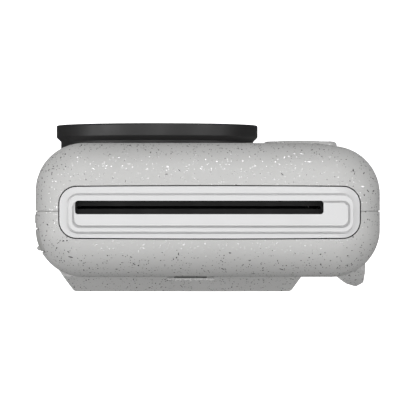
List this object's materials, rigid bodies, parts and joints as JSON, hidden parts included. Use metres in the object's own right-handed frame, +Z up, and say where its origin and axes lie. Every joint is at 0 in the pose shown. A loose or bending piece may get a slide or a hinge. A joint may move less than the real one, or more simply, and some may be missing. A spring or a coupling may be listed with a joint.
{
  "type": "instant camera",
  "caption": "Pocket instant camera that takes, shows and prints pictures: rounded upright body, round lens ring, film exit slot in the end, screen and keys on a film door.",
  "frame": {"origin": "centre of the bounding box in X and Y, on the flat lower end, Z=0", "axes": "+Z up towards the film exit, -Y the way the lens looks, +X to the right as seen from the front"},
  "size_m": [0.0834, 0.0408, 0.1229],
  "materials": {
    "body_plastic": "satin with fine glossy flecks",
    "bezel_silver": "satin silver white",
    "ring_dark": "satin dark grey",
    "gloss_black": "glossy black",
    "matte_black": "matte black",
    "lens_glass": "coated glass",
    "clear_plastic": "clear ribbed",
    "mirror": "polished",
    "steel": "plain steel",
    "roller_rubber": "ground rubber",
    "gear_plastic": "natural acetal",
    "board_green": "solder mask",
    "battery_wrap": "wrapped cell",
    "screen_glass": "black backed glass",
    "screen_panel": "display",
    "aluminium": "satin",
    "flap_rubber": "soft flap",
    "felt_black": "flocked black"
  },
  "bodies": {
    "root": {"front_shell": "body_plastic", "rear_shell": "body_plastic", "film_exit_bezel": "bezel_silver", "slot_light_seal": "felt_black", "lens_ring": "ring_dark", "lens_face_plate": "gloss_black", "lens_barrel": "matte_black", "lens_front_element": "lens_glass", "lens_inner_element": "lens_glass", "lens_mount_plate": "matte_black", "camera_module": "matte_black", "image_sensor": "gloss_black", "selfie_mirror": "mirror", "flash_window": "clear_plastic", "flash_reflector": "aluminium", "flash_tube": "lens_glass", "flash_capacitor": "aluminium", "status_lens": "clear_plastic", "speaker_driver": "matte_black", "shutter_pad": "body_plastic", "button_board": "board_green", "side_switches": "board_green", "usb_socket": "steel", "main_board": "board_green", "board_shield": "steel", "battery": "battery_wrap", "chamber_frame": "matte_black", "print_head": "matte_black", "roller_frame": "matte_black", "motor_body": "steel", "hinge_pin": "steel", "strap_lug": "body_plastic", "case_screws": "steel"},
    "shutter": {"shutter_button": "body_plastic"},
    "shortcut_1": {"shortcut_button_1": "body_plastic"},
    "shortcut_2": {"shortcut_button_2": "body_plastic"},
    "shortcut_3": {"shortcut_button_3": "body_plastic"},
    "power": {"power_button": "body_plastic"},
    "port_flap": {"port_cover": "flap_rubber"},
    "claw": {"film_claw": "steel"},
    "front_roller": {"front_roller": "steel", "front_roller_gear": "gear_plastic"},
    "rear_roller": {"rear_roller": "roller_rubber", "rear_roller_gear": "gear_plastic"},
    "idler": {"idler_gear": "gear_plastic"},
    "pinion": {"motor_pinion": "gear_plastic"},
    "door": {"film_door": "body_plastic", "door_inner_plate": "steel", "pressure_springs": "steel", "lcd_glass": "screen_glass", "lcd_panel": "screen_panel", "door_board": "board_green"},
    "rocker_pivot": {"rocker_pivot": "gear_plastic"},
    "rocker": {"rocker": "gloss_black"},
    "ok_key": {"ok_key": "gloss_black"},
    "print_key": {"print_button": "gloss_black"},
    "play_key": {"play_button": "gloss_black"},
    "back_key": {"back_button": "gloss_black"},
    "latch": {"door_latch": "body_plastic"}
  },
  "joints": [
    {"name": "shutter_press", "type": "slide", "parent": "root", "child": "shutter", "axis": [0, 1, 0], "range_m": [0, 0.0008], "stiffness_N_per_m": 600},
    {"name": "shortcut_1_press", "type": "slide", "parent": "root", "child": "shortcut_1", "axis": [1, 0, 0], "range_m": [0, 0.0006], "stiffness_N_per_m": 400},
    {"name": "shortcut_2_press", "type": "slide", "parent": "root", "child": "shortcut_2", "axis": [1, 0, 0], "range_m": [0, 0.0006], "stiffness_N_per_m": 400},
    {"name": "shortcut_3_press", "type": "slide", "parent": "root", "child": "shortcut_3", "axis": [1, 0, 0], "range_m": [0, 0.0006], "stiffness_N_per_m": 400},
    {"name": "power_press", "type": "slide", "parent": "root", "child": "power", "axis": [-1, 0, 0], "range_m": [0, 0.0006], "stiffness_N_per_m": 400},
    {"name": "port_flap_hinge", "type": "hinge", "parent": "root", "child": "port_flap", "pos_m": [0.04075, 0.00575, 0.11], "axis": [0, 0, -1], "range_deg": [0, 100], "stiffness_Nm_per_rad": 0.0004},
    {"name": "claw_slide", "type": "slide", "parent": "root", "child": "claw", "axis": [0, 0, 1], "range_m": [0, 0.005], "stiffness_N_per_m": 60},
    {"name": "front_roller_spin", "type": "hinge", "parent": "root", "child": "front_roller", "pos_m": [0, -0.0044, 0.112], "axis": [1, 0, 0], "continuous": true},
    {"name": "rear_roller_spin", "type": "hinge", "parent": "root", "child": "rear_roller", "pos_m": [0, 0.004, 0.112], "axis": [1, 0, 0], "continuous": true},
    {"name": "idler_spin", "type": "hinge", "parent": "root", "child": "idler", "pos_m": [-0.0302, -0.0056, 0.10187], "axis": [1, 0, 0], "continuous": true},
    {"name": "pinion_spin", "type": "hinge", "parent": "root", "child": "pinion", "pos_m": [-0.0302, -0.0079, 0.09317], "axis": [1, 0, 0], "continuous": true},
    {"name": "door_hinge", "type": "hinge", "parent": "root", "child": "door", "pos_m": [0, 0.0138, 0.0086], "axis": [-1, 0, 0], "range_deg": [0, 90]},
    {"name": "latch_slide", "type": "slide", "parent": "root", "child": "latch", "axis": [0, 0, 1], "range_m": [0, 0.0016], "stiffness_N_per_m": 300},
    {"name": "rocker_tilt_updown", "type": "hinge", "parent": "door", "child": "rocker_pivot", "pos_m": [0.006, 0.017, 0.024], "axis": [1, 0, 0], "range_deg": [-3, 3], "stiffness_Nm_per_rad": 0.01},
    {"name": "rocker_tilt_sideways", "type": "hinge", "parent": "rocker_pivot", "child": "rocker", "pos_m": [0.006, 0.017, 0.024], "axis": [0, 0, 1], "range_deg": [-3, 3], "stiffness_Nm_per_rad": 0.01},
    {"name": "ok_press", "type": "slide", "parent": "door", "child": "ok_key", "axis": [0, -1, 0], "range_m": [0, 0.0003], "stiffness_N_per_m": 400},
    {"name": "print_press", "type": "slide", "parent": "door", "child": "print_key", "axis": [0, -1, 0], "range_m": [0, 0.0004], "stiffness_N_per_m": 400},
    {"name": "play_press", "type": "slide", "parent": "door", "child": "play_key", "axis": [0, -1, 0], "range_m": [0, 0.0004], "stiffness_N_per_m": 400},
    {"name": "back_press", "type": "slide", "parent": "door", "child": "back_key", "axis": [0, -1, 0], "range_m": [0, 0.0004], "stiffness_N_per_m": 400}
  ],
  "couplings": [
    {"joint": "rear_roller_spin", "follows": "front_roller_spin", "ratio": -1},
    {"joint": "idler_spin", "follows": "front_roller_spin", "ratio": -0.7},
    {"joint": "pinion_spin", "follows": "front_roller_spin", "ratio": 1.4}
  ]
}
